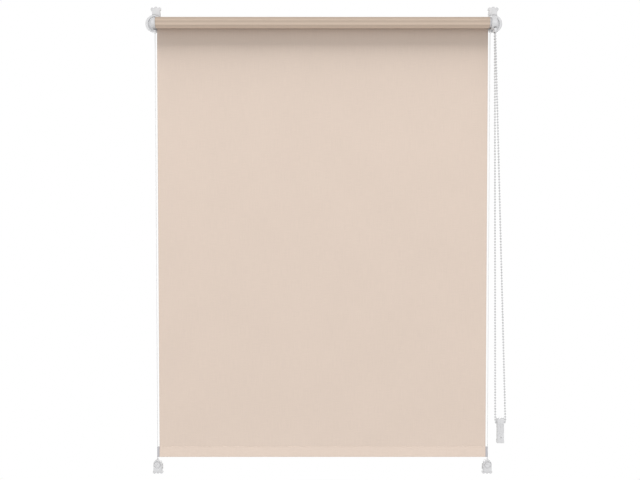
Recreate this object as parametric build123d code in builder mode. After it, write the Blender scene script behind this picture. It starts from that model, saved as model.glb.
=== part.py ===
from build123d import *
from math import cos, pi, sin, sqrt, tau
import os

# Clamp-on roller blind with a bead chain and two side guide wires.
# X runs to the right, Y away from the room into the sash, Z up. The origin is on the sash's
# top front edge, midway along the cloth's width. All lengths are in millimetres.

# Shared fits
running_gap = 0.3
slide_fit = 0.1
shaft_fit = 0.08
overrun = 1.0

# Cloth
fabric_width = 700.0
fabric_thickness = 0.4
fabric_drop = 900.9
roll_diameter = 24.4
roll_turns_shown = 3
turn_groove_width = 0.35
turn_groove_depth = 0.5

# Roller axis, measured from the sash's top front edge
axis_drop = 29.5
axis_reach = 25.0

# Roller tube and idle plug
tube_diameter = 19.0
tube_wall = 1.2
plug_flange = 1.6
plug_length = 24.0
idle_pin_diameter = 6.0
idle_pin_length = 16.0
idle_pin_chamfer = 0.8

# Bottom bar
hem_height = 22.5
hem_thickness = 5.2
hem_top_thickness = 2.4
hem_wall = 0.6
cap_clip = 0.7
cap_stub_length = 12.0
cap_edge_round = 0.4

# Guide wires
wire_diameter = 1.2
wire_side_gap = 4.2
wire_anchor_depth = 3.5

# Window sash that the hooks and the clamps hold
sash_thickness = 16.0
sash_fit = 0.4

# Sash hooks
neck_width = 16.5
neck_depth = 9.0
neck_length = 20.0
left_neck_inset = 3.6
right_neck_inset = 0.6
tongue_thickness = 3.0
tongue_length = 44.0
bridge_thickness = 3.2
bridge_width = 12.0
lip_length = 9.0
lip_thickness = 2.6
lip_chamfer = 1.2
rib_pitch = 7.4
rib_radius = 3.8
rib_rise = 2.3
middle_rib_rise = 4.0

# Brackets
left_bracket_offset = 6.6
right_bracket_offset = 12.0
disc_radius = 18.8
disc_depth = 8.5
disc_rise = 1.5
disc_edge_round = 1.6
recess_half_width = 12.8
recess_half_height = 14.8
recess_depth = 4.5
lug_width = 5.2
lug_height = 5.0
lug_drop = 17.5
lug_root = 1.0

# Idle holder
cheek_gap = 0.5
cheek_thickness = 9.0
cheek_radius = 10.5
cheek_edge_round = 1.4

# Chain housing
housing_gap = 4.8
housing_width = 9.9
housing_radius = 14.5
housing_wall = 1.0
housing_rim = 2.1
housing_edge_round = 1.4
housing_root_height = 18.0
housing_cap_thickness = 1.2
spindle_diameter = 9.0
spindle_length = 37.0
nozzle_drop = 21.5
nozzle_wall = 1.0
nozzle_forward = 6.0
nozzle_rise = 9.0

# Drive wheel
collar_radius = 9.8
wheel_core_radius = 6.9
wheel_flange_radius = 11.6
wheel_flange_width = 2.6
wheel_end_gap = 0.4
pocket_count = 10
pocket_radius = 1.9
spring_chamber_radius = 6.8

# Brake spring
spring_wire = 0.8
spring_turns = 6
spring_pitch = 2.4
spring_sides = 12
spring_end_gap = 2.0

# Bead chain
bead_diameter = 4.4
bead_pitch = 6.0
bead_sides = 6
bead_clearance = 0.4
cord_diameter = 1.0
strand_gap = 1.0
chain_tuck = 7.0

# Chain holder
holder_offset = 21.0
holder_drop = 870.0
holder_height = 54.0
holder_depth = 10.5
holder_head_width = 15.6
holder_head_height = 11.4
holder_head_crown = 0.8
holder_neck_width = 14.6
holder_waist_width = 14.0
holder_foot_width = 15.2
holder_foot_height = 7.2
holder_foot_slope = 1.6
holder_edge_chamfer = 0.8
holder_flute_width = 2.0
holder_flute_depth = 0.8
holder_flute_pitch = 4.2
holder_screw_hole = 3.0
holder_screw_head = 5.0
holder_screw_rise = 12.0
holder_screw_angle_deg = 90.0
turn_radius = 11.0
turn_drop = 4.5
turn_fillet_share = 0.97
chain_stand_off = 6.0

# Lower clamps
clamp_width = 17.2
clamp_depth = 17.0
clamp_shell_depth = 10.0
clamp_height = 25.5
clamp_edge_round = 1.2
clamp_hem_gap = 2.7
nose_height = 3.4
nose_base_radius = 2.6
nose_tip_radius = 1.2
nose_seam_turn_deg = 35.0
clamp_foot_reach = 11.0
clamp_foot_depth = 6.0
foot_rib_rise = 1.6
clamp_pocket_depth = 1.4
clamp_pocket_shift = 0.6

# Tension knobs
knob_diameter = 12.4
knob_thickness = 2.6
knob_edge_round = 0.6
knob_shaft_diameter = 4.4
knob_shaft_length = 7.0
knob_drop = 9.6
knob_slot_width = 1.8
knob_slot_depth = 0.9
knob_slot_turn_deg = 40.0

# Places worked out from the sizes above
half_width = fabric_width / 2
axis_y = -axis_reach
axis_z = -axis_drop
roll_radius = roll_diameter / 2
tube_radius = tube_diameter / 2
tube_bore_radius = tube_radius - tube_wall
panel_y = axis_y + roll_radius + running_gap + fabric_thickness / 2
hem_top_z = axis_z - fabric_drop
hem_bottom_z = hem_top_z - hem_height
wire_x = half_width + wire_side_gap
wire_y = panel_y
cap_thickness = wire_side_gap + cap_clip
sash_gap = sash_thickness + sash_fit
disc_z = axis_z + disc_rise
left_bracket_x = -half_width - left_bracket_offset
right_bracket_x = half_width + right_bracket_offset
left_hook_x = left_bracket_x + left_neck_inset
right_hook_x = right_bracket_x - right_neck_inset
seat_y = -(disc_depth - recess_depth)
lug_bottom_z = axis_z - lug_drop
housing_x = half_width + housing_gap
housing_outer_x = housing_x + housing_width
bead_radius = bead_diameter / 2
chain_x = housing_outer_x - housing_wall - bead_clearance - bead_radius
nozzle_y = axis_y - nozzle_forward
nozzle_bottom_z = axis_z - nozzle_drop
strand_offset = (bead_diameter + strand_gap) / 2
front_strand_y = nozzle_y - strand_offset
rear_strand_y = nozzle_y + strand_offset
holder_x = right_bracket_x + holder_offset
holder_top_z = -holder_drop
holder_bottom_z = holder_top_z - holder_height
turn_bottom_z = holder_top_z - turn_drop - turn_radius
clamp_top_z = hem_bottom_z - clamp_hem_gap - nose_height
lower_seat_z = clamp_top_z - clamp_height
arch_z = clamp_top_z - clamp_width / 2
knob_z = clamp_top_z - knob_drop
clamp_pocket_radius = knob_diameter / 2 + sqrt(2) * clamp_pocket_shift + running_gap
wire_top_z = lug_bottom_z + wire_anchor_depth
wire_bottom_z = clamp_top_z - wire_anchor_depth


def save(piece, name):
    """Label a finished piece and write it to its own file."""
    piece.label = name
    export_step(piece, f"parts/{name}.step")


def draw_ribs(centre_x, seat_z, way, side_rise, middle_rise):
    """Sketch three round ribs side by side on a flat seat; way is 1 for ribs above it, -1 below."""
    for place in (-1, 0, 1):
        rise = middle_rise if place == 0 else side_rise
        with Locations((centre_x + place * rib_pitch, seat_z + way * rise)):
            Circle(rib_radius)
    with Locations((centre_x, seat_z - way * rib_radius)):
        Rectangle(4 * rib_pitch, 2 * rib_radius, mode=Mode.SUBTRACT)


def draw_bar(inset):
    """Sketch the bottom bar's drop-shaped section, smaller all round by the inset."""
    with Locations((panel_y, hem_top_z - hem_top_thickness / 2)):
        Circle(hem_top_thickness / 2 - inset)
    with Locations((panel_y, hem_bottom_z + hem_thickness / 2)):
        Circle(hem_thickness / 2 - inset)
    make_hull()


def draw_bridge(front_y, seat_z, way):
    """Sketch the arm across the sash and the lip behind it; way is 1 above the sash, -1 below."""
    Polygon(
        (front_y, seat_z),
        (sash_gap, seat_z),
        (sash_gap, seat_z - way * lip_length),
        (sash_gap + lip_thickness - lip_chamfer, seat_z - way * lip_length),
        (sash_gap + lip_thickness, seat_z - way * (lip_length - lip_chamfer)),
        (sash_gap + lip_thickness, seat_z + way * bridge_thickness),
        (front_y, seat_z + way * bridge_thickness),
        align=None,
    )


def make_sash_hook(centre_x, bracket_x):
    """Hook over the top of the sash, with a neck and a tongue that the bracket slides on."""
    with BuildPart() as hook:
        with BuildSketch(Plane.YZ.offset(centre_x - neck_width / 2)):
            with BuildLine():
                Polyline(
                    (0, -tongue_length),
                    (0, bridge_thickness),
                    (-neck_depth, bridge_thickness),
                    (-neck_depth, -neck_length),
                    (-tongue_thickness, -neck_length),
                    (-tongue_thickness, -tongue_length),
                    close=True,
                )
            make_face()
        extrude(amount=neck_width)
        with BuildSketch(Plane.XZ.offset(neck_depth)):
            draw_ribs(centre_x, 0, 1, rib_rise, middle_rib_rise)
        extrude(amount=-neck_depth)
        with BuildSketch(Plane.YZ.offset(centre_x - bridge_width / 2)):
            draw_bridge(-neck_depth, 0, 1)
        extrude(amount=bridge_width)
        # The neck stops at the bracket's round edge
        with BuildSketch(Plane.XZ.offset(tongue_thickness)):
            with Locations((bracket_x, disc_z)):
                Circle(disc_radius + slide_fit)
        extrude(amount=neck_depth, mode=Mode.SUBTRACT)
    return hook.part


def make_bracket(bracket_x, hook_x, side):
    """Round plate with a raised ring, a channel for the hook's tongue and a lug for the guide wire."""
    channel_top_z = disc_z + disc_radius + overrun
    channel_height = channel_top_z + tongue_length + slide_fit
    lug_reach = lug_root - disc_depth - wire_y
    with BuildPart() as bracket:
        with BuildSketch(Plane.XZ):
            with Locations((bracket_x, disc_z)):
                Circle(disc_radius)
        extrude(amount=disc_depth)
        with BuildSketch(Plane.XZ.offset(disc_depth)):
            with Locations((bracket_x, disc_z)):
                Ellipse(recess_half_width, recess_half_height)
        extrude(amount=-recess_depth, mode=Mode.SUBTRACT)
        fillet(bracket.faces().sort_by(Axis.Y)[0].edges(), disc_edge_round)
        with BuildSketch(Plane.XZ):
            with Locations((hook_x, channel_top_z - channel_height / 2)):
                Rectangle(neck_width + 2 * slide_fit, channel_height)
        extrude(amount=tongue_thickness + slide_fit, mode=Mode.SUBTRACT)
        with BuildSketch(Plane.XY.offset(lug_bottom_z)):
            with Locations((side * wire_x, wire_y)):
                Circle(lug_width / 2)
            with Locations((side * wire_x, wire_y + lug_reach / 2)):
                Rectangle(lug_width, lug_reach)
        extrude(amount=lug_height)
        with BuildSketch(Plane.XY.offset(lug_bottom_z)):
            with Locations((side * wire_x, wire_y)):
                Circle(wire_diameter / 2 + slide_fit)
        extrude(amount=wire_anchor_depth, mode=Mode.SUBTRACT)
    return bracket.part


def make_end_cap(side):
    """Cap of the bottom bar: a stub in the hem and an end plate clipped round the guide wire."""
    with BuildPart() as cap:
        with BuildSketch(Plane.YZ.offset(side * half_width)):
            draw_bar(0)
        extrude(amount=side * cap_thickness)
        fillet(cap.faces().sort_by(Axis.X)[-1 if side > 0 else 0].edges(), cap_edge_round)
        with BuildSketch(Plane.YZ.offset(side * half_width)):
            draw_bar(hem_wall + slide_fit)
        extrude(amount=-side * cap_stub_length)
        with BuildSketch(Plane.XY.offset(hem_bottom_z)):
            with Locations((side * wire_x, wire_y)):
                Circle(wire_diameter / 2 + running_gap)
        extrude(amount=hem_height, mode=Mode.SUBTRACT)
    return cap.part


def make_guide_wire(side):
    """Straight taut wire from the bracket's lug to the lower clamp's nose."""
    with BuildPart() as wire:
        with BuildSketch(Plane.XY.offset(wire_bottom_z)):
            with Locations((side * wire_x, wire_y)):
                Circle(wire_diameter / 2)
        extrude(amount=wire_top_z - wire_bottom_z)
    return wire.part


def make_lower_clamp(side):
    """Arched shell on a web in front of the sash, a ribbed foot, and a bridge under the sash with a lip."""
    centre_x = side * wire_x
    web_depth = clamp_depth - clamp_shell_depth
    with BuildPart() as clamp:
        with BuildSketch(Plane.XZ.offset(web_depth)):
            with Locations((centre_x, arch_z)):
                Circle(clamp_width / 2)
            with Locations((centre_x, (arch_z + lower_seat_z) / 2)):
                Rectangle(clamp_width, arch_z - lower_seat_z)
        extrude(amount=clamp_shell_depth)
        fillet(clamp.faces().sort_by(Axis.Y)[0].edges(), clamp_edge_round)
        with BuildSketch(Plane.XZ):
            with Locations((centre_x, (arch_z + lower_seat_z) / 2)):
                Rectangle(bridge_width, arch_z - lower_seat_z)
        extrude(amount=web_depth)
        with BuildSketch(Plane.XZ.offset(clamp_foot_reach)):
            with Locations((centre_x, lower_seat_z - bridge_thickness / 2)):
                Rectangle(clamp_width, bridge_thickness)
            draw_ribs(centre_x, lower_seat_z, -1, foot_rib_rise, foot_rib_rise)
        extrude(amount=-clamp_foot_depth)
        with BuildSketch(Plane.YZ.offset(centre_x - bridge_width / 2)):
            draw_bridge(-clamp_foot_reach, lower_seat_z, -1)
        extrude(amount=bridge_width)
        # Pocket round the knob, open towards the lower outer corner
        with BuildSketch(Plane.XZ.offset(clamp_depth)):
            with Locations((centre_x + side * clamp_pocket_shift, knob_z - clamp_pocket_shift)):
                Circle(clamp_pocket_radius)
        extrude(amount=-clamp_pocket_depth, mode=Mode.SUBTRACT)
        with BuildSketch(Plane.XZ.offset(clamp_depth)):
            with Locations((centre_x, knob_z)):
                Circle(knob_shaft_diameter / 2 + shaft_fit)
        extrude(amount=-(clamp_pocket_depth + knob_shaft_length + running_gap), mode=Mode.SUBTRACT)
        # Nose that the wire runs into
        with Locations((centre_x, wire_y, clamp_top_z)):
            Cone(nose_base_radius, nose_tip_radius, 2 * nose_height, rotation=(0, 0, nose_seam_turn_deg))
        with BuildSketch(Plane.XY.offset(wire_bottom_z)):
            with Locations((centre_x, wire_y)):
                Circle(wire_diameter / 2 + slide_fit)
        extrude(amount=wire_anchor_depth + nose_height + overrun, mode=Mode.SUBTRACT)
    return clamp.part


def make_tension_knob(side):
    """Slotted knob on a shaft in the lower clamp."""
    centre_x = side * wire_x
    back_depth = clamp_depth - clamp_pocket_depth + running_gap
    head_depth = clamp_pocket_depth - running_gap + knob_thickness
    with BuildPart() as knob:
        with BuildSketch(Plane.XZ.offset(back_depth)):
            with Locations((centre_x, knob_z)):
                Circle(knob_diameter / 2)
        extrude(amount=head_depth)
        fillet(knob.faces().sort_by(Axis.Y)[0].edges(), knob_edge_round)
        with BuildSketch(Plane.XZ.offset(back_depth + head_depth)):
            with Locations((centre_x, knob_z)):
                SlotOverall(knob_diameter, knob_slot_width, rotation=-side * knob_slot_turn_deg)
        extrude(amount=-knob_slot_depth, mode=Mode.SUBTRACT)
        with BuildSketch(Plane.XZ.offset(back_depth)):
            with Locations((centre_x, knob_z)):
                Circle(knob_shaft_diameter / 2)
        extrude(amount=-knob_shaft_length)
    return knob.part


os.makedirs("parts", exist_ok=True)

# Hooks and brackets, left and right
for side_name, side, bracket_x, hook_x in (
    ("left", -1, left_bracket_x, left_hook_x),
    ("right", 1, right_bracket_x, right_hook_x),
):
    save(make_sash_hook(hook_x, bracket_x), f"sash_hook_{side_name}")
    save(make_bracket(bracket_x, hook_x, side), f"bracket_{side_name}")
    save(make_end_cap(side), f"end_cap_{side_name}")
    save(make_guide_wire(side), f"guide_wire_{side_name}")
    save(make_lower_clamp(side), f"lower_clamp_{side_name}")
    save(make_tension_knob(side), f"tension_knob_{side_name}")

# Idle holder: a rounded cheek seated in the left bracket's recess, with the roller's pin
cheek_inner_x = -half_width - cheek_gap
with BuildPart() as idle_holder:
    with BuildSketch(Plane.YZ.offset(cheek_inner_x - cheek_thickness)):
        with Locations((axis_y, axis_z)):
            Circle(cheek_radius)
        with Locations(((axis_y + seat_y) / 2, axis_z)):
            Rectangle(seat_y - axis_y, 2 * cheek_radius)
    extrude(amount=cheek_thickness)
    fillet(idle_holder.faces().sort_by(Axis.X)[0].edges(), cheek_edge_round)
    with BuildSketch(Plane.YZ.offset(cheek_inner_x)):
        with Locations((axis_y, axis_z)):
            Circle(idle_pin_diameter / 2)
    extrude(amount=idle_pin_length)
    chamfer(idle_holder.faces().sort_by(Axis.X)[-1].edges(), idle_pin_chamfer)
save(idle_holder.part, "idle_holder")

# Roller tube
tube_half_length = half_width - plug_flange
with BuildPart() as roller_tube:
    with BuildSketch(Plane.YZ.offset(-tube_half_length)):
        with Locations((axis_y, axis_z)):
            Circle(tube_radius)
            Circle(tube_bore_radius, mode=Mode.SUBTRACT)
    extrude(amount=2 * tube_half_length)
save(roller_tube.part, "roller_tube")

# Idle plug in the left end of the tube
with BuildPart() as idle_plug:
    with BuildSketch(Plane.YZ.offset(-half_width)):
        with Locations((axis_y, axis_z)):
            Circle(tube_radius)
    extrude(amount=plug_flange)
    with BuildSketch(Plane.YZ.offset(-half_width)):
        with Locations((axis_y, axis_z)):
            Circle(tube_bore_radius - slide_fit)
    extrude(amount=plug_length)
    with BuildSketch(Plane.YZ.offset(-half_width)):
        with Locations((axis_y, axis_z)):
            Circle(idle_pin_diameter / 2 + shaft_fit)
    extrude(amount=plug_length, mode=Mode.SUBTRACT)
save(idle_plug.part, "idle_plug")

# Cloth still on the roller, with its turns showing as rings on both ends
roll_bore_radius = tube_radius + slide_fit
turn_step = (roll_radius - roll_bore_radius) / (roll_turns_shown + 1)
with BuildPart() as fabric_roll:
    with BuildSketch(Plane.YZ.offset(-half_width)):
        with Locations((axis_y, axis_z)):
            Circle(roll_radius)
            Circle(roll_bore_radius, mode=Mode.SUBTRACT)
    extrude(amount=fabric_width)
    for end_x, inward in ((-half_width, 1), (half_width, -1)):
        with BuildSketch(Plane.YZ.offset(end_x)):
            with Locations((axis_y, axis_z)):
                for turn in range(roll_turns_shown):
                    ring_radius = roll_bore_radius + (turn + 1) * turn_step
                    Circle(ring_radius + turn_groove_width / 2)
                    Circle(ring_radius - turn_groove_width / 2, mode=Mode.SUBTRACT)
        extrude(amount=inward * turn_groove_depth, mode=Mode.SUBTRACT)
save(fabric_roll.part, "fabric_roll")

# Hanging cloth, from the back of the roll to the hem
with BuildPart() as fabric_panel:
    with BuildSketch(Plane.XY.offset(hem_top_z)):
        with Locations((0, panel_y)):
            Rectangle(fabric_width, fabric_thickness)
    extrude(amount=fabric_drop)
save(fabric_panel.part, "fabric_panel")

# Hem pocket: the cloth's end folded round the slat
with BuildPart() as hem_pocket:
    with BuildSketch(Plane.YZ.offset(-half_width)):
        draw_bar(0)
    extrude(amount=fabric_width)
    with BuildSketch(Plane.YZ.offset(-half_width)):
        draw_bar(hem_wall)
    extrude(amount=fabric_width, mode=Mode.SUBTRACT)
save(hem_pocket.part, "hem_pocket")

# Slat that weights the hem, between the stubs of the end caps
slat_half_length = half_width - cap_stub_length - slide_fit
with BuildPart() as bottom_slat:
    with BuildSketch(Plane.YZ.offset(-slat_half_length)):
        draw_bar(hem_wall + slide_fit)
    extrude(amount=2 * slat_half_length)
save(bottom_slat.part, "bottom_slat")

# Chain housing: a round can seated in the right bracket's recess, with the wheel's spindle
# and a nozzle for the chain
cavity_radius = housing_radius - housing_rim
passage_width = bead_diameter + 2 * bead_clearance
passage_length = 2 * strand_offset + passage_width
with BuildPart() as chain_housing:
    with BuildSketch(Plane.YZ.offset(housing_x)):
        with Locations((axis_y, axis_z)):
            Circle(housing_radius)
        with Locations(((axis_y + seat_y) / 2, axis_z)):
            Rectangle(seat_y - axis_y, housing_root_height)
    extrude(amount=housing_width)
    fillet(chain_housing.faces().sort_by(Axis.X)[-1].edges(), housing_edge_round)
    with BuildSketch(Plane.XY.offset(nozzle_bottom_z)):
        with Locations((chain_x, nozzle_y)):
            SlotOverall(passage_length + 2 * nozzle_wall, passage_width + 2 * nozzle_wall, rotation=90)
    extrude(amount=nozzle_rise)
    with BuildSketch(Plane.YZ.offset(housing_x)):
        with Locations((axis_y, axis_z)):
            Circle(cavity_radius)
    extrude(amount=housing_width - housing_wall, mode=Mode.SUBTRACT)
    with BuildSketch(Plane.XY.offset(nozzle_bottom_z)):
        with Locations((chain_x, nozzle_y)):
            SlotOverall(passage_length, passage_width, rotation=90)
    extrude(amount=nozzle_rise + housing_rim, mode=Mode.SUBTRACT)
    with BuildSketch(Plane.YZ.offset(housing_outer_x - housing_wall)):
        with Locations((axis_y, axis_z)):
            Circle(spindle_diameter / 2)
    extrude(amount=-spindle_length)
save(chain_housing.part, "chain_housing")

# Cap on the roller side of the housing
with BuildPart() as housing_cap:
    with BuildSketch(Plane.YZ.offset(housing_x)):
        with Locations((axis_y, axis_z)):
            Circle(housing_radius)
            Circle(collar_radius + running_gap, mode=Mode.SUBTRACT)
    extrude(amount=-housing_cap_thickness)
save(housing_cap.part, "housing_cap")

# Drive wheel: a pocketed chain wheel, a collar and a plug for the tube, turning on the spindle
wheel_outer_x = housing_outer_x - housing_wall - wheel_end_gap
flange_x = chain_x - bead_radius - bead_clearance - wheel_flange_width
tube_end_x = tube_half_length
with BuildPart() as drive_wheel:
    with BuildSketch(Plane.YZ.offset(flange_x)):
        with Locations((axis_y, axis_z)):
            Circle(wheel_core_radius)
    extrude(amount=wheel_outer_x - flange_x)
    with BuildSketch(Plane.YZ.offset(flange_x)):
        with Locations((axis_y, axis_z)):
            Circle(wheel_flange_radius)
            with PolarLocations(wheel_flange_radius, pocket_count):
                Circle(pocket_radius, mode=Mode.SUBTRACT)
    extrude(amount=wheel_flange_width)
    with BuildSketch(Plane.YZ.offset(half_width)):
        with Locations((axis_y, axis_z)):
            Circle(collar_radius)
    extrude(amount=flange_x - half_width)
    with BuildSketch(Plane.YZ.offset(tube_end_x)):
        with Locations((axis_y, axis_z)):
            Circle(tube_radius)
    extrude(amount=half_width - tube_end_x)
    with BuildSketch(Plane.YZ.offset(half_width - plug_length)):
        with Locations((axis_y, axis_z)):
            Circle(tube_bore_radius - slide_fit)
    extrude(amount=plug_length)
    with BuildSketch(Plane.YZ.offset(half_width - plug_length)):
        with Locations((axis_y, axis_z)):
            Circle(spring_chamber_radius)
    extrude(amount=plug_length, mode=Mode.SUBTRACT)
    with BuildSketch(Plane.YZ.offset(half_width)):
        with Locations((axis_y, axis_z)):
            Circle(spindle_diameter / 2 + shaft_fit)
    extrude(amount=wheel_outer_x - half_width, mode=Mode.SUBTRACT)
save(drive_wheel.part, "drive_wheel")

# Brake spring: a coil on the spindle, inside the drive wheel's plug
spring_reach = spring_wire / sqrt(2)
spring_radius = (spindle_diameter / 2 + running_gap + spring_reach) / cos(pi / spring_sides)
spring_start_x = half_width - plug_length + spring_end_gap
coil_points = []
for step in range(spring_turns * spring_sides + 1):
    turn = step / spring_sides
    coil_points.append(
        (
            spring_start_x + turn * spring_pitch,
            axis_y + spring_radius * cos(tau * turn),
            axis_z + spring_radius * sin(tau * turn),
        )
    )
with BuildLine() as coil_line:
    Polyline(*coil_points)
coil_wire = coil_line.wire()
with BuildPart() as brake_spring:
    with BuildSketch(Plane(coil_wire @ 0, z_dir=coil_wire % 0)):
        Rectangle(spring_wire, spring_wire)
    sweep(path=coil_wire, transition=Transition.RIGHT)
save(brake_spring.part, "brake_spring")

# Bead chain: one loop from the nozzle, round the holder and back
chain_back_y = -chain_stand_off
with BuildLine() as chain_line:
    FilletPolyline(
        (chain_x, front_strand_y, nozzle_bottom_z + chain_tuck),
        (holder_x + turn_radius, chain_back_y, turn_bottom_z),
        (holder_x - turn_radius, chain_back_y, turn_bottom_z),
        (chain_x, rear_strand_y, nozzle_bottom_z + chain_tuck),
        radius=turn_radius * turn_fillet_share,
    )
chain_wire = chain_line.wire()
chain_length = chain_wire.length

with BuildPart() as chain_cord:
    with BuildSketch(Plane(chain_wire @ 0, z_dir=chain_wire % 0)):
        Circle(cord_diameter / 2)
    sweep(path=chain_wire)
save(chain_cord.part, "chain_cord")

with BuildPart() as bead:
    with BuildSketch() as bead_middle:
        RegularPolygon(bead_radius, bead_sides)
    loft([Vertex(0, 0, -bead_radius), bead_middle.sketch.face(), Vertex(0, 0, bead_radius)], ruled=True)

bead_count = int((chain_length - bead_diameter) / bead_pitch) + 1
first_bead = (chain_length - (bead_count - 1) * bead_pitch) / 2
beads = []
for number in range(bead_count):
    place = first_bead + number * bead_pitch
    middle = chain_wire.position_at(place, PositionMode.LENGTH)
    along = chain_wire.tangent_at(place, PositionMode.LENGTH)
    beads.append(bead.part.moved(Plane(middle, z_dir=along).location))
save(Compound(children=beads), "bead_chain")

# Chain holder: a fluted body with a head that the chain turns under
shoulder_z = holder_top_z - holder_head_crown
head_bottom_z = holder_top_z - holder_head_height
foot_top_z = holder_bottom_z + holder_foot_height
screw_z = holder_bottom_z + holder_screw_rise
flute_bottom_z = screw_z + holder_screw_head
with BuildPart() as chain_holder:
    with BuildSketch(Plane.XZ):
        with BuildLine():
            crown = ThreePointArc(
                (holder_x, shoulder_z),
                (holder_x + holder_head_width / 4, holder_top_z),
                (holder_x + holder_head_width / 2, shoulder_z),
            )
            outline = Polyline(
                crown @ 1,
                (holder_x + holder_head_width / 2, head_bottom_z),
                (holder_x + holder_neck_width / 2, head_bottom_z),
                (holder_x + holder_waist_width / 2, foot_top_z),
                (holder_x + holder_foot_width / 2, foot_top_z - holder_foot_slope),
                (holder_x + holder_foot_width / 2, holder_bottom_z),
                (holder_x, holder_bottom_z),
            )
            mirror((crown, outline), about=Plane.YZ.offset(holder_x))
        make_face()
    extrude(amount=holder_depth)
    chamfer(chain_holder.faces().sort_by(Axis.Y)[0].edges(), holder_edge_chamfer)
    with BuildSketch(Plane.XZ.offset(holder_depth)):
        for place in (-1, 0, 1):
            with Locations((holder_x + place * holder_flute_pitch, (head_bottom_z + flute_bottom_z) / 2)):
                Rectangle(holder_flute_width, head_bottom_z - flute_bottom_z)
    extrude(amount=-holder_flute_depth, mode=Mode.SUBTRACT)
    with Locations(Plane((holder_x, -holder_depth, screw_z), z_dir=(0, -1, 0))):
        CounterSinkHole(holder_screw_hole / 2, holder_screw_head / 2, holder_depth, holder_screw_angle_deg)
    with BuildSketch(Plane(chain_wire @ 0, z_dir=chain_wire % 0)):
        Circle(bead_radius + bead_clearance)
    sweep(path=chain_wire, mode=Mode.SUBTRACT)
save(chain_holder.part, "chain_holder")

print("chain length", round(chain_length, 1), "beads", bead_count)
print("chain turn radius", round(turn_radius * turn_fillet_share, 2))
print("lower seat", round(lower_seat_z, 1))
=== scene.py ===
from math import atan2, cos, pi, radians, sin, tau

import bmesh
import bpy
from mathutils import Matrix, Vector


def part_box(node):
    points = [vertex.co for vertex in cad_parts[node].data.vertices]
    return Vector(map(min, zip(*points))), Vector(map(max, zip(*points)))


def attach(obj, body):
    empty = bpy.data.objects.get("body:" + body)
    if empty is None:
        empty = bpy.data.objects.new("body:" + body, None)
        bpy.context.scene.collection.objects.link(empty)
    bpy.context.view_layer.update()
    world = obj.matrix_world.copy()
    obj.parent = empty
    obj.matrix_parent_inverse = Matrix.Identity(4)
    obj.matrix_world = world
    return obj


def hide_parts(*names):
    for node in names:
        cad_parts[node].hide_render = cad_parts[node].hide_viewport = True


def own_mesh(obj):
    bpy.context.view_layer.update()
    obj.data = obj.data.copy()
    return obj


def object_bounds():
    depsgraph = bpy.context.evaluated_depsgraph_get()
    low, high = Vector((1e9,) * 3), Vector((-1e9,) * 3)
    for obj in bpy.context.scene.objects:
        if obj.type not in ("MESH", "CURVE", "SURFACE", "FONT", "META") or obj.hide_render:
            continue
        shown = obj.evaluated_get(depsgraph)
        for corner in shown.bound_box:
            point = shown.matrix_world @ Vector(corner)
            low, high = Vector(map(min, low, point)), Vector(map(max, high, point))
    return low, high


bl_info = {
    "name": "Roller Blind",
    "version": (1, 0, 0),
    "blender": (4, 5, 0),
    "location": "3D View > Sidebar > Blind",
    "description": "Clamp-on roller blind with a bead chain and guide wires, built around its CAD frame",
    "category": "Object",
}

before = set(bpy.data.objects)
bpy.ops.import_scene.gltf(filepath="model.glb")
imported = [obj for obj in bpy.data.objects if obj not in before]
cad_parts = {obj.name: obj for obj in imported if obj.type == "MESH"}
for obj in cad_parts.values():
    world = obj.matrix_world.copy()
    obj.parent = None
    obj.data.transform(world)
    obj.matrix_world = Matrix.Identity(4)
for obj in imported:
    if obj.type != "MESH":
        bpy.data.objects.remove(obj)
cad_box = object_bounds()

# Places read from the frame
roll_low, roll_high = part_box("fabric_roll")
panel_low, panel_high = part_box("fabric_panel")
hem_low, hem_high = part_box("hem_pocket")
tube_low, tube_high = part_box("roller_tube")
half_width = roll_high.x
axis_y = (roll_low.y + roll_high.y) / 2
axis_z = (roll_low.z + roll_high.z) / 2
roll_radius = (roll_high.z - roll_low.z) / 2
tube_radius = (tube_high.z - tube_low.z) / 2
panel_y = (panel_low.y + panel_high.y) / 2
panel_drop = panel_high.z - panel_low.z

# Ridges that the winding leaves round the roll: their number, their start, and their drift along it. Number
# and start also place the shade stripes painted on the wound cloth
RIDGES = 8
RIDGE_START = 2.93
DRIFT_TURN = 0.25
DRIFT_WAVES = 3.1
DRIFT_START = 0.6

# Points beyond this share of the roll's radius are on its surface
SURFACE_SHARE = 0.995

# Points within this share of the bore's radius are on its rim
BORE_SHARE = 1.02

# Share of each turn's thickness over which the roll's end falls, before it rises to the next turn
GAP_SHARE = 0.3

# Slight waves of the hanging cloth: height share, waves from middle to edge, waves down, and start
PANEL_WAVES = ((1.0, 1.3, 0.4, 0.0), (0.6, 2.1, -0.7, 1.0))

# Slight waves of the hem: height share, turn from middle to end, and start
HEM_WAVES = ((1.0, 9.0, 0.5), (0.5, 17.0, 1.9))

# Share of the hem's thickness that rounds its top and its foot
HEM_ROUND_SHARE = 0.46

# Cuts across the hem's seam as shares of its half width, and how deep the inner ones are pressed
SEAM_CUT_SHARES = (-1, -0.5, 0, 0.5, 1)
SEAM_PRESS_SHARES = {-0.5: 0.7, 0: 1.0, 0.5: 0.7}

# Power by which the leaving cloth settles from the hanging part onto the roll
SETTLE_POWER = 1.5

# Stretch of the noise that thickens the threads here and there, and that draws the metal's lines
WEFT_SLUB = (45, 900, 1)
WARP_SLUB = (900, 30, 1)
METAL_LINES = (6, 2600, 2600)

# Where the seal of the cloth's cut edge starts and is full, from the edge
SEAL_START = 0.0018
SEAL_FULL = 0.0006

# An edge or a normal with more than this share along X counts as along X
ALONG_SHARE = 0.9

# Points closer than this are one point
MERGE = 1e-6

# Edges between faces: flatter ones are dissolved, and sharper ones are rounded
FLAT_EDGE = radians(0.4)
SHARP_EDGE = radians(38)

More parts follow.
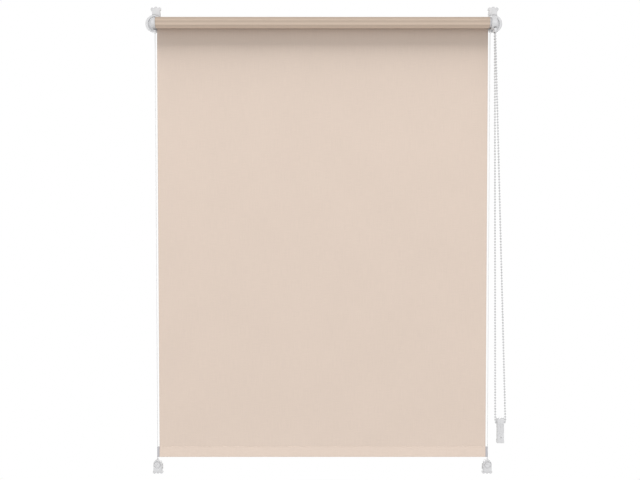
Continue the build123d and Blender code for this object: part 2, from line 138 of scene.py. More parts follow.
# Stage: the floor's grey, its glow by the distance from its middle, and the surround's fill
FLOOR_GREY = 0.42
FLOOR_GLOW = {"From Min": 0.3, "From Max": 1.1, "To Min": 0.8, "To Max": 1.0}
SURROUND_FILL = 0.70

# Camera's place from the middle of the roll's axis, and its rise above level
CAMERA_REACH = (-0.0054, -1.881, -0.3929)
CAMERA_RISE = radians(-1.94)

# Moulded parts, with the body each rides on and its finish
MOULDED = (
    ("sash_hook_left", "frame", "white"),
    ("sash_hook_right", "frame", "white"),
    ("bracket_left", "frame", "white"),
    ("bracket_right", "frame", "white"),
    ("idle_holder", "frame", "white"),
    ("chain_housing", "frame", "white"),
    ("housing_cap", "frame", "white"),
    ("lower_clamp_left", "frame", "white"),
    ("lower_clamp_right", "frame", "white"),
    ("chain_holder", "frame", "white"),
    ("tension_knob_left", "knob_left", "white"),
    ("tension_knob_right", "knob_right", "white"),
    ("drive_wheel", "roller", "grey"),
    ("idle_plug", "roller", "grey"),
    ("end_cap_left", "bottom_bar", "cap"),
    ("end_cap_right", "bottom_bar", "cap"),
)


class BlindSizes(bpy.types.PropertyGroup):
    """Sizes of the cloth, the chain's cord, the moulded edges and the stage."""

    cloth_thickness: bpy.props.FloatProperty(
        name="Cloth thickness", description="Thickness of the cloth",
        default=0.0004, unit="LENGTH",
    )
    thread_pitch: bpy.props.FloatProperty(
        name="Thread pitch", description="Distance between threads of the weave",
        default=0.00055, unit="LENGTH",
    )
    ripple: bpy.props.FloatProperty(
        name="Ripple", description="Height of the slight waves in the hanging cloth",
        default=0.00018, unit="LENGTH",
    )
    ridge: bpy.props.FloatProperty(
        name="Ridge", description="Height of the ridges round the wound cloth",
        default=0.0002, unit="LENGTH",
    )
    turn_gap: bpy.props.FloatProperty(
        name="Turn gap", description="Depth between the turns at the roll's ends",
        default=0.0002, unit="LENGTH",
    )
    wrap_angle: bpy.props.FloatProperty(
        name="Wrap angle", description="Arc over which the cloth leaves the roll",
        default=radians(70), subtype="ANGLE",
    )
    hem_top: bpy.props.FloatProperty(
        name="Hem top", description="Thickness of the hem at its top",
        default=0.001, unit="LENGTH",
    )
    hem_foot: bpy.props.FloatProperty(
        name="Hem foot", description="Thickness of the hem round the slat's foot",
        default=0.0046, unit="LENGTH",
    )
    seam_drop: bpy.props.FloatProperty(
        name="Seam drop", description="Distance of the hem's seam below its top",
        default=0.0028, unit="LENGTH",
    )
    seam_depth: bpy.props.FloatProperty(
        name="Seam depth", description="Depth of the hem's seam",
        default=0.00005, unit="LENGTH",
    )
    seam_width: bpy.props.FloatProperty(
        name="Seam width", description="Width of the hem's seam",
        default=0.0009, unit="LENGTH",
    )
    cord_radius: bpy.props.FloatProperty(
        name="Cord radius", description="Radius of the chain's cord",
        default=0.0005, unit="LENGTH",
    )
    rib_merge: bpy.props.FloatProperty(
        name="Rib merge", description="Width of the slivers closed between the hooks' ribs",
        default=0.00015, unit="LENGTH",
    )
    moulded_edge: bpy.props.FloatProperty(
        name="Moulded edge", description="Rounding of the moulded parts' edges",
        default=0.00025, unit="LENGTH",
    )
    floor_drop: bpy.props.FloatProperty(
        name="Floor drop", description="Height of the blind above the floor",
        default=0.35, unit="LENGTH",
    )


class BlindColours(bpy.types.PropertyGroup):
    """Colours of the blind's finishes, as they look on a screen."""

    cloth_face: bpy.props.FloatVectorProperty(
        name="Cloth face", description="Room side of the cloth", subtype="COLOR_GAMMA",
        default=(0.894, 0.824, 0.769),
    )
    cloth_back: bpy.props.FloatVectorProperty(
        name="Cloth back", description="Window side of the cloth, seen on the roll", subtype="COLOR_GAMMA",
        default=(0.788, 0.715, 0.651),
    )
    white_plastic: bpy.props.FloatVectorProperty(
        name="White plastic", description="Hooks, brackets, clamps and chain parts", subtype="COLOR_GAMMA",
        default=(0.86, 0.86, 0.865),
    )
    grey_plastic: bpy.props.FloatVectorProperty(
        name="Grey plastic", description="Plug and drive wheel", subtype="COLOR_GAMMA",
        default=(0.85, 0.85, 0.86),
    )
    cap_plastic: bpy.props.FloatVectorProperty(
        name="Cap plastic", description="End caps of the bottom bar", subtype="COLOR_GAMMA",
        default=(0.735, 0.73, 0.745),
    )
    bead_plastic: bpy.props.FloatVectorProperty(
        name="Bead plastic", description="Beads of the chain", subtype="COLOR_GAMMA",
        default=(0.84, 0.84, 0.845),
    )
    nylon: bpy.props.FloatVectorProperty(
        name="Nylon", description="Guide wires and the chain's cord", subtype="COLOR_GAMMA",
        default=(0.92, 0.925, 0.925),
    )
    metal: bpy.props.FloatVectorProperty(
        name="Metal", description="Roller tube, slat and spring", subtype="COLOR_GAMMA",
        default=(0.75, 0.75, 0.76),
    )


# Selection and mesh helpers


def start_piece():
    """Clear the selection, so that the next operator acts on its own piece only."""
    bpy.ops.object.select_all(action="DESELECT")


def settle(name):
    """Name the new piece and put its place, turn and scale into its mesh."""
    piece = bpy.context.object
    piece.name = name
    piece.data.name = name
    bpy.ops.object.transform_apply(location=True, rotation=True, scale=True)
    return piece


def select_parts(piece, parts, test):
    """In edit mode, select the vertices, edges or faces whose middle passes the test, and nothing else."""
    bpy.ops.mesh.select_mode(type={"verts": "VERT", "edges": "EDGE", "faces": "FACE"}[parts])
    bpy.ops.mesh.select_all(action="DESELECT")
    mesh = bmesh.from_edit_mesh(piece.data)
    for part in getattr(mesh, parts):
        if parts == "verts":
            chosen = test(part.co, part.normal)
        elif parts == "edges":
            first, last = (corner.co for corner in part.verts)
            chosen = test((first + last) / 2, (last - first).normalized())
        else:
            chosen = test(part.calc_center_median(), part.normal)
        part.select_set(chosen)
    mesh.select_flush_mode()
    bmesh.update_edit_mesh(piece.data)


def apply_modifier(piece, kind, **settings):
    """Add a modifier to the piece, set it and apply it."""
    modifier = piece.modifiers.new(kind.lower(), kind)
    for key, value in settings.items():
        setattr(modifier, key, value)
    bpy.context.view_layer.objects.active = piece
    bpy.ops.object.modifier_apply(modifier=modifier.name)


def lay_cloth(piece, place_of):
    """Give a cloth piece a UV map in metres along its threads."""
    layer = piece.data.uv_layers.get("threads") or piece.data.uv_layers.new(name="threads")
    vertices = piece.data.vertices
    for face in piece.data.polygons:
        for loop in face.loop_indices:
            corner = vertices[piece.data.loops[loop].vertex_index].co
            layer.data[loop].uv = place_of(corner, face.center)


def shade(piece, angle):
    """Shade the piece smooth, apart from edges sharper than the angle."""
    start_piece()
    piece.select_set(True)
    bpy.context.view_layer.objects.active = piece
    bpy.ops.object.shade_smooth_by_angle(angle=angle)


# Node helpers


def linear(colour):
    """The colour's values for the shader, from the values seen on a screen."""
    return [part / 12.92 if part <= 0.04045 else ((part + 0.055) / 1.055) ** 2.4 for part in colour] + [1.0]


class Finish:
    """One material's node tree, built a node at a time."""

    def __init__(self, name):
        self.material = bpy.data.materials.new(name)
        self.material.use_nodes = True
        self.tree = self.material.node_tree
        self.shader = self.tree.nodes["Principled BSDF"]

    def node(self, kind, settings=(), **inputs):
        """Add a node. An input is a value, or the socket that feeds it. The name i0 means the first input."""
        made = self.tree.nodes.new(kind)
        for key, value in dict(settings).items():
            setattr(made, key, value)
        for key, value in inputs.items():
            socket = made.inputs[int(key[1:])] if key[0] == "i" and key[1:].isdigit() else made.inputs[key]
            if isinstance(value, bpy.types.NodeSocket):
                self.tree.links.new(value, socket)
            else:
                socket.default_value = value
        return made

    def math(self, operation, first, second=0.0):
        """Add a Math node and give its result."""
        return self.node("ShaderNodeMath", {"operation": operation}, i0=first, i1=second).outputs[0]

    def between(self, value, low, high, to_low, to_high):
        """Map a value smoothly from one range to another."""
        made = self.node(
            "ShaderNodeMapRange",
            {"interpolation_type": "SMOOTHSTEP"},
            i0=value,
            i1=low,
            i2=high,
            i3=to_low,
            i4=to_high,
        )
        return made.outputs[0]

    def brighten(self, colour, amount):
        """Scale a colour by an amount near 1."""
        made = self.node("ShaderNodeHueSaturation", Color=colour, Value=amount)
        return made.outputs[0]

    def bump(self, height, strength, distance):
        """Turn a height into a normal for the shader."""
        made = self.node("ShaderNodeBump", Strength=strength, Distance=distance, Height=height)
        self.tree.links.new(made.outputs[0], self.shader.inputs["Normal"])

    def set(self, **values):
        """Set the shader's own sockets, or feed them. Underscores stand for spaces."""
        for key, value in values.items():
            socket = self.shader.inputs[key.replace("_", " ")]
            if isinstance(value, bpy.types.NodeSocket):
                self.tree.links.new(value, socket)
            else:
                socket.default_value = value


def finish_cloth(name, colour, painted_ridge_shade, sheen):
    """Plain weave with slight slubs, a sealed cut edge and, on the roll, painted shade stripes in step with
    the winding's ridges.
    """
    sizes = bpy.context.scene.blind_sizes
    made = Finish(name)
    threads = made.node("ShaderNodeUVMap", {"uv_map": "threads"}).outputs[0]
    split = made.node("ShaderNodeSeparateXYZ", i0=threads)
    across, along = split.outputs[0], split.outputs[1]
    turn = tau / (2 * sizes.thread_pitch)
    warp = made.math("SINE", made.math("MULTIPLY", across, turn))
    weft = made.math("SINE", made.math("MULTIPLY", along, turn))
    weave = made.math("MULTIPLY", warp, weft)
    along_weft = made.node("ShaderNodeMapping", Vector=threads, Scale=WEFT_SLUB).outputs[0]
    along_warp = made.node("ShaderNodeMapping", Vector=threads, Scale=WARP_SLUB).outputs[0]
    weft_slub = made.node("ShaderNodeTexNoise", Vector=along_weft, Scale=1.0, Detail=2.0).outputs[0]
    warp_slub = made.node("ShaderNodeTexNoise", Vector=along_warp, Scale=1.0, Detail=2.0).outputs[0]
    slubs = made.math("ADD", weft_slub, warp_slub)
    cloudy = made.node("ShaderNodeTexNoise", Vector=threads, Scale=9.0, Detail=3.0).outputs[0]
    slub_shade = made.between(slubs, low=0.6, high=1.4, to_low=0.975, to_high=1.02)
    cloud_shade = made.between(cloudy, low=0.3, high=0.7, to_low=0.993, to_high=1.007)
    seal_shade = made.between(
        made.math("ABSOLUTE", across),
        low=half_width - SEAL_START,
        high=half_width - SEAL_FULL,
        to_low=1.0,
        to_high=0.93,
    )
    amount = made.math("MULTIPLY", made.math("MULTIPLY", slub_shade, cloud_shade), seal_shade)
    # Painted shade: stripes lighter and darker round the roll, in step with the ridges, stand in for the
    # ridges' shading
    if painted_ridge_shade:
        round_roll = made.math("ADD", made.math("MULTIPLY", along, RIDGES / roll_radius), RIDGE_START)
        ridge_shade_stripes = made.math("MULTIPLY", made.math("COSINE", round_roll), painted_ridge_shade)
        amount = made.math("MULTIPLY", amount, made.math("ADD", ridge_shade_stripes, 1.0))
    made.set(
        Base_Color=made.brighten(linear(colour), amount),
        Roughness=made.between(slubs, low=0.5, high=1.5, to_low=0.92, to_high=0.8),
        Specular_IOR_Level=0.25,
        Sheen_Weight=sheen,
        Sheen_Roughness=0.5,
        Sheen_Tint=linear(colour),
    )
    height = made.math("ADD", made.math("MULTIPLY", weave, 0.5), slubs)
    made.bump(height, strength=0.25, distance=0.00012)
    return made.material


def finish_plastic(name, colour, roughness, mottle):
    """Moulded plastic with a fine satin grain and slight flow marks."""
    made = Finish(name)
    place = made.node("ShaderNodeTexCoord").outputs["Object"]
    flow = made.node("ShaderNodeTexNoise", Vector=place, Scale=90.0, Detail=2.0, Distortion=0.6).outputs[0]
    grain = made.node("ShaderNodeTexNoise", Vector=place, Scale=4200.0, Detail=2.0).outputs[0]
    flow_shade = made.between(flow, low=0.3, high=0.7, to_low=1.0 - mottle, to_high=1.0 + mottle)
    made.set(
        Base_Color=made.brighten(linear(colour), flow_shade),
        Roughness=made.between(flow, low=0.3, high=0.7, to_low=roughness - 0.06, to_high=roughness + 0.06),
        Specular_IOR_Level=0.3,
    )
    made.bump(grain, strength=0.12, distance=0.00006)
    return made.material


def finish_metal(name, colour, roughness):
    """Drawn metal with fine lines along its length."""
    made = Finish(name)
    place = made.node("ShaderNodeTexCoord").outputs["Object"]
    drawn = made.node("ShaderNodeMapping", Vector=place, Scale=METAL_LINES).outputs[0]
    lines = made.node("ShaderNodeTexNoise", Vector=drawn, Scale=1.0, Detail=3.0).outputs[0]
    line_shade = made.between(lines, low=0.3, high=0.7, to_low=0.94, to_high=1.05)
    made.set(
        Base_Color=made.brighten(linear(colour), line_shade),
        Roughness=made.between(lines, low=0.3, high=0.7, to_low=roughness - 0.08, to_high=roughness + 0.08),
        Metallic=1.0,
    )
    made.bump(lines, strength=0.2, distance=0.00005)
    return made.material


def take_material(name):
    """The finish of that name, made when it is first asked for."""
    found = bpy.data.materials.get(name)
    if found:
        return found
    colours = bpy.context.scene.blind_colours
    recipes = {
        "cloth_face": (finish_cloth, colours.cloth_face, {"painted_ridge_shade": 0.0, "sheen": 0.08}),
        "cloth_back": (finish_cloth, colours.cloth_back, {"painted_ridge_shade": 0.0, "sheen": 0.08}),
        # The wound cloth has painted shade stripes round the roll
        "cloth_wound": (finish_cloth, colours.cloth_back, {"painted_ridge_shade": 0.10, "sheen": 0.4}),
        "white": (finish_plastic, colours.white_plastic, {"roughness": 0.24, "mottle": 0.008}),
        "grey": (finish_plastic, colours.grey_plastic, {"roughness": 0.42, "mottle": 0.008}),
        "cap": (finish_plastic, colours.cap_plastic, {"roughness": 0.42, "mottle": 0.008}),
        "bead": (finish_plastic, colours.bead_plastic, {"roughness": 0.22, "mottle": 0.01}),
        "nylon": (finish_plastic, colours.nylon, {"roughness": 0.3, "mottle": 0.006}),
        "metal": (finish_metal, colours.metal, {"roughness": 0.35}),
    }
    make, colour, settings = recipes[name]
    return make(name, colour, **settings)


# Operators, one for each piece or group of like pieces


class BLIND_OT_cloth_panel(bpy.types.Operator):
    """Hang the cloth from the back of the roll down to the hem"""

    bl_idname = "blind.cloth_panel"
    bl_label = "Hanging Cloth"

    def execute(self, context):
        sizes = context.scene.blind_sizes
        into_hem = 2 * sizes.cloth_thickness
        drop = panel_drop + into_hem
        start_piece()
        bpy.ops.mesh.primitive_grid_add(
            x_subdivisions=140,
            y_subdivisions=180,
            size=1,
            location=(0, panel_y, panel_high.z - drop / 2),
            rotation=(pi / 2, 0, 0),
        )
        context.object.scale = (2 * half_width, drop, 1)
        panel = settle("cloth_panel")
        for vertex in panel.data.vertices:
            hang = (panel_high.z - vertex.co.z) / drop
            across = vertex.co.x / half_width
            calm = sin(pi * min(max(hang, 0.0), 1.0)) ** 0.5
            wave = sum(
                height * sin(tau * (wide * across + deep * hang) + start)
                for height, wide, deep, start in PANEL_WAVES
            )
            vertex.co.y += sizes.ripple * calm * wave
        lay_cloth(panel, lambda corner, middle: (corner.x, corner.z))
        panel.data.materials.append(take_material("cloth_face"))
        panel.data.materials.append(take_material("cloth_back"))
        apply_modifier(
            panel,
            "SOLIDIFY",
            thickness=sizes.cloth_thickness,
            offset=0.0,
            material_offset=1,
            material_offset_rim=1,
        )
        shade(panel, radians(40))
        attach(panel, "frame")
        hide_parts("fabric_panel")
        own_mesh(panel)
        return {"FINISHED"}


class BLIND_OT_cloth_roll(bpy.types.Operator):
    """Wind the rest of the cloth on the tube, with its turns showing at both ends"""

    bl_idname = "blind.cloth_roll"
    bl_label = "Wound Cloth"

    def execute(self, context):
        sizes = context.scene.blind_sizes
        start_piece()
        bpy.ops.mesh.primitive_cylinder_add(
            vertices=144,
            radius=roll_radius,
            depth=2 * half_width,
            end_fill_type="NGON",
            location=(0, axis_y, axis_z),
            rotation=(0, pi / 2, 0),
        )
        roll = settle("cloth_roll")
        bpy.ops.object.mode_set(mode="EDIT")
        select_parts(roll, "edges", lambda middle, way: abs(way.x) > ALONG_SHARE)
        bpy.ops.mesh.subdivide(number_cuts=70)
        bore_radius = tube_radius + sizes.cloth_thickness / 4
        turns = int((roll_radius - bore_radius) / sizes.cloth_thickness)
        turn = (roll_radius - bore_radius) / turns
        for end in (-1, 1):
            select_parts(roll, "faces", lambda middle, normal: normal.x * end > ALONG_SHARE)
            for number in range(turns):
                bpy.ops.mesh.inset(thickness=turn * GAP_SHARE, depth=-sizes.turn_gap)
                last = number == turns - 1
                bpy.ops.mesh.inset(thickness=turn * (1 - GAP_SHARE), depth=0 if last else sizes.turn_gap)
            bpy.ops.mesh.delete(type="FACE")
        axis = Vector((0, axis_y, axis_z))
        select_parts(
            roll, "verts", lambda place, normal: (place - axis).yz.length < bore_radius * BORE_SHARE
        )
        bpy.ops.mesh.select_mode(type="EDGE")
        bpy.ops.mesh.bridge_edge_loops()
        bpy.ops.mesh.select_all(action="SELECT")
        bpy.ops.mesh.normals_make_consistent(inside=False)
        bpy.ops.object.mode_set(mode="OBJECT")
        for vertex in roll.data.vertices:
            out = Vector((0, vertex.co.y - axis_y, vertex.co.z - axis_z))
            if out.length > roll_radius * SURFACE_SHARE:
                angle = atan2(out.z, -out.y)
                drift = DRIFT_TURN * sin(DRIFT_WAVES * vertex.co.x / half_width + DRIFT_START)
                rise = cos(RIDGES * angle + drift + RIDGE_START + pi / 2) - 1
                vertex.co += out.normalized() * sizes.ridge * rise
        lay_cloth(roll, place_on_roll)
        roll.data.materials.append(take_material("cloth_wound"))
        shade(roll, radians(40))
        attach(roll, "roller")
        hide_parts("fabric_roll")
        return {"FINISHED"}


def place_on_roll(corner, middle):
    """Place along the threads of a point on the roll, on the same turn as the middle of its face."""
    angle = atan2(corner.z - axis_z, axis_y - corner.y)
    at_middle = atan2(middle.z - axis_z, axis_y - middle.y)
    if angle - at_middle > pi:
        angle -= tau
    elif at_middle - angle > pi:
        angle += tau
    return corner.x, roll_radius * angle


class BLIND_OT_cloth_wrap(bpy.types.Operator):
    """Lead the cloth from its last turn on the roll into the hanging part"""

    bl_idname = "blind.cloth_wrap"
    bl_label = "Leaving Cloth"

    def execute(self, context):
        sizes = context.scene.blind_sizes
        start_piece()
        bpy.ops.mesh.primitive_grid_add(x_subdivisions=70, y_subdivisions=18, size=1)
        context.object.scale = (2 * half_width, 1, 1)
        wrap = settle("cloth_wrap")
        start_radius = panel_y - axis_y
        end_radius = roll_radius - sizes.cloth_thickness
        for vertex in wrap.data.vertices:
            share = vertex.co.y + 0.5
            angle = sizes.wrap_angle * share
            radius = start_radius + (end_radius - start_radius) * share**SETTLE_POWER
            vertex.co.y = axis_y + radius * cos(angle)
            vertex.co.z = axis_z + radius * sin(angle)
        lay_cloth(wrap, place_on_roll)
        wrap.data.materials.append(take_material("cloth_wound"))
        apply_modifier(wrap, "SOLIDIFY", thickness=sizes.cloth_thickness, offset=0.0)
        shade(wrap, radians(40))
        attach(wrap, "frame")
        return {"FINISHED"}


class BLIND_OT_hem(bpy.types.Operator):
    """Fold the cloth's end into a pocket round the slat, closed by a pressed seam"""

    bl_idname = "blind.hem"
    bl_label = "Hem"

    def execute(self, context):
        sizes = context.scene.blind_sizes
        size = Vector((2 * half_width, sizes.hem_foot, hem_high.z - hem_low.z))
        middle = (hem_high + hem_low) / 2
        start_piece()
        bpy.ops.mesh.primitive_cube_add(size=1, location=middle)
        context.object.scale = size
        hem = settle("hem")
        bpy.ops.object.mode_set(mode="EDIT")
        select_parts(hem, "faces", lambda place, normal: abs(normal.x) > ALONG_SHARE)
        bpy.ops.mesh.delete(type="FACE")
        select_parts(hem, "verts", lambda place, normal: place.z > middle.z)
        bpy.ops.transform.resize(value=(1, sizes.hem_top / size.y, 1), center_override=middle)
        select_parts(hem, "edges", lambda place, way: abs(way.x) > ALONG_SHARE and place.z > middle.z)
        bpy.ops.mesh.bevel(offset=sizes.hem_top * HEM_ROUND_SHARE, segments=6, profile=0.5)
        foot_z = hem_low.z + size.y / 4
        select_parts(hem, "edges", lambda place, way: abs(way.x) > ALONG_SHARE and place.z < foot_z)
        bpy.ops.mesh.bevel(offset=size.y * HEM_ROUND_SHARE, segments=8, profile=0.5)
        seam_z = hem_high.z - sizes.seam_drop
        for step in SEAM_CUT_SHARES:
            bpy.ops.mesh.select_all(action="SELECT")
            level = seam_z + step * sizes.seam_width / 2
            bpy.ops.mesh.bisect(plane_co=(0, middle.y, level), plane_no=(0, 0, 1), clear_inner=False)
        for step, share in SEAM_PRESS_SHARES.items():
            level = seam_z + step * sizes.seam_width / 2
            for way in (-1, 1):
                select_parts(
                    hem,
                    "verts",
                    lambda place, normal: abs(place.z - level) < sizes.seam_width / 8
                    and (place.y - middle.y) * way > 0,
                )
                bpy.ops.transform.translate(value=(0, -way * share * sizes.seam_depth, 0))
        select_parts(hem, "edges", lambda place, way: abs(way.x) > ALONG_SHARE)
        bpy.ops.mesh.subdivide(number_cuts=90)
        bpy.ops.mesh.select_all(action="SELECT")
        bpy.ops.mesh.normals_make_consistent(inside=False)
        bpy.ops.object.mode_set(mode="OBJECT")
        highest = sum(height for height, turn, start in HEM_WAVES)
        for vertex in hem.data.vertices:
            across = vertex.co.x / half_width
            side = (vertex.co.y - middle.y) / size.y
            calm = (1 - across**2) ** 0.5 if abs(across) < 1 else 0.0
            wave = sum(height * sin(turn * across + start) for height, turn, start in HEM_WAVES)
            vertex.co.y += side * sizes.ripple * calm * (wave - highest) / 2
        lay_cloth(hem, lambda corner, centre: (corner.x, corner.z))
        hem.data.materials.append(take_material("cloth_face"))
        apply_modifier(hem, "SOLIDIFY", thickness=sizes.cloth_thickness, offset=-1.0)
        shade(hem, radians(40))
        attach(hem, "bottom_bar")
        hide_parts("hem_pocket")
        return {"FINISHED"}


def bead_places():
    """Middles of the chain's beads, read from the frame's own bead chain."""
    mesh = bmesh.new()
    mesh.from_mesh(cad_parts["bead_chain"].data)
    bmesh.ops.remove_doubles(mesh, verts=mesh.verts, dist=MERGE)
    places = []
    left = set(mesh.verts)
    while left:
        group = [left.pop()]
        for vertex in group:
            for edge in vertex.link_edges:
                other = edge.other_vert(vertex)
                if other in left:
                    left.remove(other)
                    group.append(other)
        places.append(sum((vertex.co for vertex in group), Vector()) / len(group))
    mesh.free()
    return places


class BLIND_OT_bead_chain(bpy.types.Operator):
    """Thread round beads on the chain's cord"""

    bl_idname = "blind.bead_chain"
    bl_label = "Bead Chain"

    def execute(self, context):
        sizes = context.scene.blind_sizes
        chain_low, chain_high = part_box("bead_chain")
        cord_low, cord_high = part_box("chain_cord")
        radius = ((chain_high.x - chain_low.x) - (cord_high.x - cord_low.x)) / 2 + sizes.cord_radius
        start_piece()
        bpy.ops.mesh.primitive_uv_sphere_add(segments=10, ring_count=7, radius=radius)
        first = context.object
        beads = []
        for place in bead_places():
            bead = bpy.data.objects.new("bead", first.data.copy())
            bead.location = place
            context.scene.collection.objects.link(bead)
            beads.append(bead)
        bpy.data.objects.remove(first)
        start_piece()
        for bead in beads:
            bead.select_set(True)
        context.view_layer.objects.active = beads[0]
        bpy.ops.object.join()
        chain = settle("beads")
        chain.data.materials.append(take_material("bead"))
        shade(chain, radians(60))
        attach(chain, "frame")
        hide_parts("bead_chain")
        return {"FINISHED"}


class BLIND_OT_moulded_parts(bpy.types.Operator):
    """Round the edges of the moulded hooks, brackets, clamps and chain parts"""

    bl_idname = "blind.moulded_parts"
    bl_label = "Moulded Parts"

    def execute(self, context):
        sizes = context.scene.blind_sizes
        for node, body, finish in MOULDED:
            part = bpy.data.objects.new(f"{node}_moulded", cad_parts[node].data.copy())
            context.scene.collection.objects.link(part)
            start_piece()
            part.select_set(True)
            context.view_layer.objects.active = part
            bpy.ops.object.mode_set(mode="EDIT")
            bpy.ops.mesh.select_all(action="SELECT")
            bpy.ops.mesh.remove_doubles(threshold=sizes.rib_merge if node.startswith("sash_hook") else MERGE)
            bpy.ops.mesh.dissolve_limited(angle_limit=FLAT_EDGE)
            bpy.ops.object.mode_set(mode="OBJECT")
            apply_modifier(
                part,
                "BEVEL",
                width=sizes.moulded_edge,
                segments=2,
                limit_method="ANGLE",
                angle_limit=SHARP_EDGE,
                use_clamp_overlap=True,
            )
            part.data.materials.clear()
            part.data.materials.append(take_material(finish))
            shade(part, radians(35))
            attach(part, body)
            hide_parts(node)
        return {"FINISHED"}


class BLIND_OT_plain_parts(bpy.types.Operator):
    """Finish the wires, the chain's cord and the metal parts, which keep their own meshes"""

    bl_idname = "blind.plain_parts"
    bl_label = "Wires and Metal Parts"

    def execute(self, context):
        finishes = {
            "guide_wire_left": "nylon",
            "guide_wire_right": "nylon",
            "chain_cord": "nylon",
            "roller_tube": "metal",
            "bottom_slat": "metal",
            "brake_spring": "metal",
        }
        for node, finish in finishes.items():
            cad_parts[node].material_slots[0].material = take_material(finish)
        return {"FINISHED"}


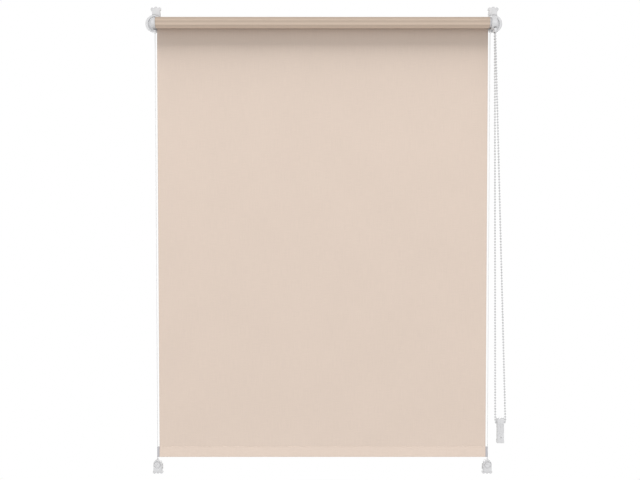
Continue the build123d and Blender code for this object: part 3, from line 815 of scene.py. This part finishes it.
class BLIND_OT_stage(bpy.types.Operator):
    """Set up the floor, the light and the camera"""

    bl_idname = "blind.stage"
    bl_label = "Stage"

    def execute(self, context):
        sizes = context.scene.blind_sizes
        self.lay_floor(cad_box[0].z - sizes.floor_drop)
        self.light_world(context.scene)
        self.hang_lamps()
        self.place_camera(context.scene)
        context.scene.view_settings.view_transform = "Standard"
        return {"FINISHED"}

    def lay_floor(self, height):
        """A wide pale floor that looks white and still takes a shadow."""
        start_piece()
        bpy.ops.mesh.primitive_plane_add(size=40, location=(0, 0, height))
        floor = bpy.context.object
        floor.name = "floor"
        material = bpy.data.materials.new("floor")
        material.use_nodes = True
        nodes = material.node_tree.nodes
        links = material.node_tree.links
        nodes.remove(nodes["Principled BSDF"])
        matt = nodes.new("ShaderNodeBsdfDiffuse")
        matt.inputs["Color"].default_value = (FLOOR_GREY, FLOOR_GREY, FLOOR_GREY, 1)
        glow = nodes.new("ShaderNodeEmission")
        place = nodes.new("ShaderNodeTexCoord")
        away = nodes.new("ShaderNodeVectorMath")
        away.operation = "LENGTH"
        links.new(place.outputs["Object"], away.inputs[0])
        spread = nodes.new("ShaderNodeMapRange")
        spread.interpolation_type = "SMOOTHSTEP"
        links.new(away.outputs["Value"], spread.inputs["Value"])
        for socket, value in FLOOR_GLOW.items():
            spread.inputs[socket].default_value = value
        soft = nodes.new("ShaderNodeMath")
        soft.operation = "MULTIPLY"
        links.new(add_seen_rays(nodes, links), soft.inputs[0])
        links.new(spread.outputs["Result"], soft.inputs[1])
        mix = nodes.new("ShaderNodeMixShader")
        links.new(soft.outputs[0], mix.inputs[0])
        links.new(matt.outputs[0], mix.inputs[1])
        links.new(glow.outputs[0], mix.inputs[2])
        links.new(mix.outputs[0], nodes["Material Output"].inputs["Surface"])
        floor.data.materials.append(material)

    def light_world(self, scene):
        """An even pale surround, white where it is seen."""
        world = bpy.data.worlds.new("surround")
        world.use_nodes = True
        scene.world = world
        nodes = world.node_tree.nodes
        links = world.node_tree.links
        fill = nodes["Background"]
        fill.inputs["Color"].default_value = (1, 1, 1, 1)
        fill.inputs["Strength"].default_value = SURROUND_FILL
        white = nodes.new("ShaderNodeBackground")
        white.inputs["Color"].default_value = (1, 1, 1, 1)
        mix = nodes.new("ShaderNodeMixShader")
        links.new(add_seen_rays(nodes, links), mix.inputs[0])
        links.new(fill.outputs[0], mix.inputs[1])
        links.new(white.outputs[0], mix.inputs[2])
        links.new(mix.outputs[0], nodes["World Output"].inputs["Surface"])

    def hang_lamps(self):
        """Large soft lamps: one high above the hanging cloth, one in front of the rest, and one behind."""
        faced = ["cloth_roll", "cloth_wrap", "hem", "beads"]
        faced += [f"{node}_moulded" for node, body, finish in MOULDED]
        self.hang_lamp(
            "overhead", reach=(0, -2.7, 8.3), size=(5.0, 4.0), power=815, pieces=faced, link="EXCLUDE"
        )
        self.hang_lamp(
            "front", reach=(0, -7.0, -0.6), size=(5.0, 7.0), power=365, pieces=faced, link="INCLUDE"
        )
        self.hang_lamp("back", reach=(0, 7.0, 0.6), size=(5.0, 5.0), power=120)

    def hang_lamp(self, name, reach, size, power, pieces=(), link=""):
        """One lamp aimed at the blind, with any pieces that it lights alone or leaves out."""
        start_piece()
        target = Vector((0, panel_y, (cad_box[0].z + cad_box[1].z) / 2))
        place = target + Vector(reach)
        facing = (target - place).to_track_quat("-Z", "Y").to_euler()
        bpy.ops.object.light_add(type="AREA", location=place, rotation=facing)
        lamp = bpy.context.object
        lamp.name = name
        lamp.data.shape = "RECTANGLE"
        lamp.data.size, lamp.data.size_y = size
        lamp.data.energy = power
        if not pieces:
            return
        lit = bpy.data.collections.new(f"{name}_lit")
        lamp.light_linking.receiver_collection = lit
        for piece in pieces:
            lit.objects.link(bpy.data.objects[piece])
        for entry in lit.collection_objects:
            entry.light_linking.link_state = link

    def place_camera(self, scene):
        """A camera on the photograph's line of sight."""
        start_piece()
        bpy.ops.object.camera_add(
            location=Vector((0, axis_y, axis_z)) + Vector(CAMERA_REACH),
            rotation=(pi / 2 + CAMERA_RISE, 0, 0),
        )
        camera = bpy.context.object
        camera.data.lens = 50
        camera.data.sensor_width = 36
        camera.data.sensor_fit = "HORIZONTAL"
        scene.camera = camera


def add_seen_rays(nodes, links):
    """A value that is 1 for what the camera sees, straight or in gloss or glass."""
    path = nodes.new("ShaderNodeLightPath")
    total = path.outputs["Is Camera Ray"]
    for name in ("Is Glossy Ray", "Is Transmission Ray"):
        larger = nodes.new("ShaderNodeMath")
        larger.operation = "MAXIMUM"
        links.new(total, larger.inputs[0])
        links.new(path.outputs[name], larger.inputs[1])
        total = larger.outputs[0]
    return total


class BLIND_PT_sidebar(bpy.types.Panel):
    """Sizes, colours and pieces of the blind"""

    bl_idname = "BLIND_PT_sidebar"
    bl_label = "Roller Blind"
    bl_space_type = "VIEW_3D"
    bl_region_type = "UI"
    bl_category = "Blind"

    def draw(self, context):
        for group in (context.scene.blind_sizes, context.scene.blind_colours):
            box = self.layout.box()
            for key in group.__annotations__:
                box.prop(group, key)
        for operator in OPERATORS:
            self.layout.operator(operator.bl_idname)


OPERATORS = (
    BLIND_OT_cloth_panel,
    BLIND_OT_cloth_roll,
    BLIND_OT_cloth_wrap,
    BLIND_OT_hem,
    BLIND_OT_bead_chain,
    BLIND_OT_moulded_parts,
    BLIND_OT_plain_parts,
    BLIND_OT_stage,
)
CLASSES = (BlindSizes, BlindColours, *OPERATORS, BLIND_PT_sidebar)


def register():
    for kind in CLASSES:
        bpy.utils.register_class(kind)
    bpy.types.Scene.blind_sizes = bpy.props.PointerProperty(type=BlindSizes)
    bpy.types.Scene.blind_colours = bpy.props.PointerProperty(type=BlindColours)


def unregister():
    del bpy.types.Scene.blind_colours
    del bpy.types.Scene.blind_sizes
    for kind in reversed(CLASSES):
        bpy.utils.unregister_class(kind)


def main():
    """Make every piece and the stage in order."""
    register()
    bpy.ops.blind.cloth_panel()
    bpy.ops.blind.cloth_roll()
    bpy.ops.blind.cloth_wrap()
    bpy.ops.blind.hem()
    bpy.ops.blind.bead_chain()
    bpy.ops.blind.moulded_parts()
    bpy.ops.blind.plain_parts()
    bpy.ops.blind.stage()


if __name__ == "__main__":
    main()
